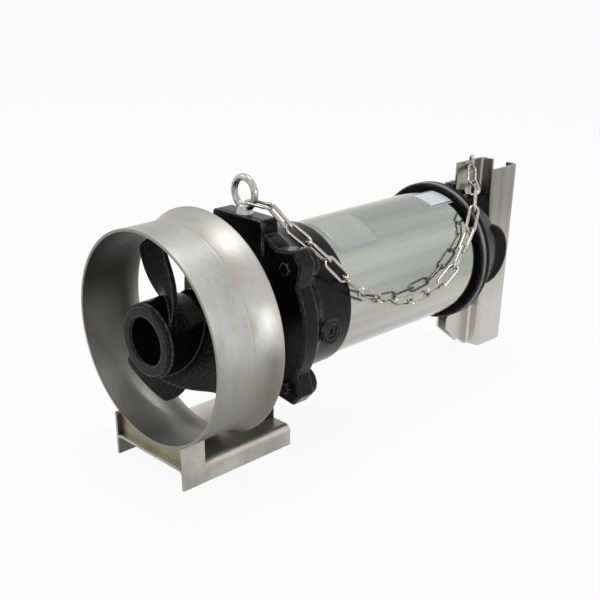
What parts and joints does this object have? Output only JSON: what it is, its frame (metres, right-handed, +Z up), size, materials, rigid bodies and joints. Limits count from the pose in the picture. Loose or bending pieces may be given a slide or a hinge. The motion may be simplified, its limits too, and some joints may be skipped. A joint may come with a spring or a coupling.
{
  "type": "submersible mixer",
  "caption": "Compact submersible mixer: black propeller in a stainless jet ring, sealed motor in a polished tube, guide-rail bracket at the back and a lifting chain.",
  "frame": {"origin": "on the floor under the middle of the machine, at the bottom centre of its bounding box", "axes": "+Z up, +Y from the propeller back along the shaft to the guide-rail bracket, +X to the side of the oil plug"},
  "size_m": [0.257, 0.6284, 0.312],
  "materials": {
    "sheet_satin": "satin stainless sheet",
    "sheet_brushed": "brushed stainless sheet",
    "tube_polished": "mirror polished stainless pipe",
    "cast_black": "black epoxy paint on rough cast iron",
    "blade_black": "gloss black paint on cast iron",
    "stainless": "bright stainless steel",
    "steel": "turned steel",
    "seal_carbon": "silicon carbide and carbon seal faces",
    "rubber": "black rubber",
    "lamination": "electrical steel laminations",
    "copper": "varnished copper windings",
    "aluminium": "die cast aluminium end rings",
    "gland_plastic": "black plastic gland"
  },
  "bodies": {
    "mixer": {"jet_ring": "sheet_satin", "foot_channel": "sheet_brushed", "foot_cross_plate": "sheet_brushed", "front_cover": "cast_black", "oil_housing": "cast_black", "oil_plug": "cast_black", "seal_seats": "seal_carbon", "bearing_outer_rings": "steel", "motor_tube": "tube_polished", "stator_core": "lamination", "stator_windings": "copper", "rear_cover": "cast_black", "cable_gland": "gland_plastic", "rail_sheet_right": "sheet_satin", "rail_sheet_left": "sheet_satin", "rail_bolts": "stainless", "rail_nuts": "stainless", "flange_bolts": "stainless", "foot_bolts": "stainless", "eye_bolt": "stainless", "eye_link": "stainless", "tab_ring": "stainless", "chain_links": "stainless"},
    "rotor": {"propeller": "blade_black", "propeller_washer": "stainless", "propeller_bolt": "stainless", "propeller_key": "steel", "shaft": "steel", "seal_faces": "seal_carbon", "seal_bellows": "rubber", "bearing_inner_rings": "steel", "rotor_core": "lamination", "rotor_end_rings": "aluminium"}
  },
  "joints": [
    {"name": "propeller_spin", "type": "hinge", "parent": "mixer", "child": "rotor", "pos_m": [0, -0.30925, 0.156], "axis": [0, 1, 0], "continuous": true}
  ]
}
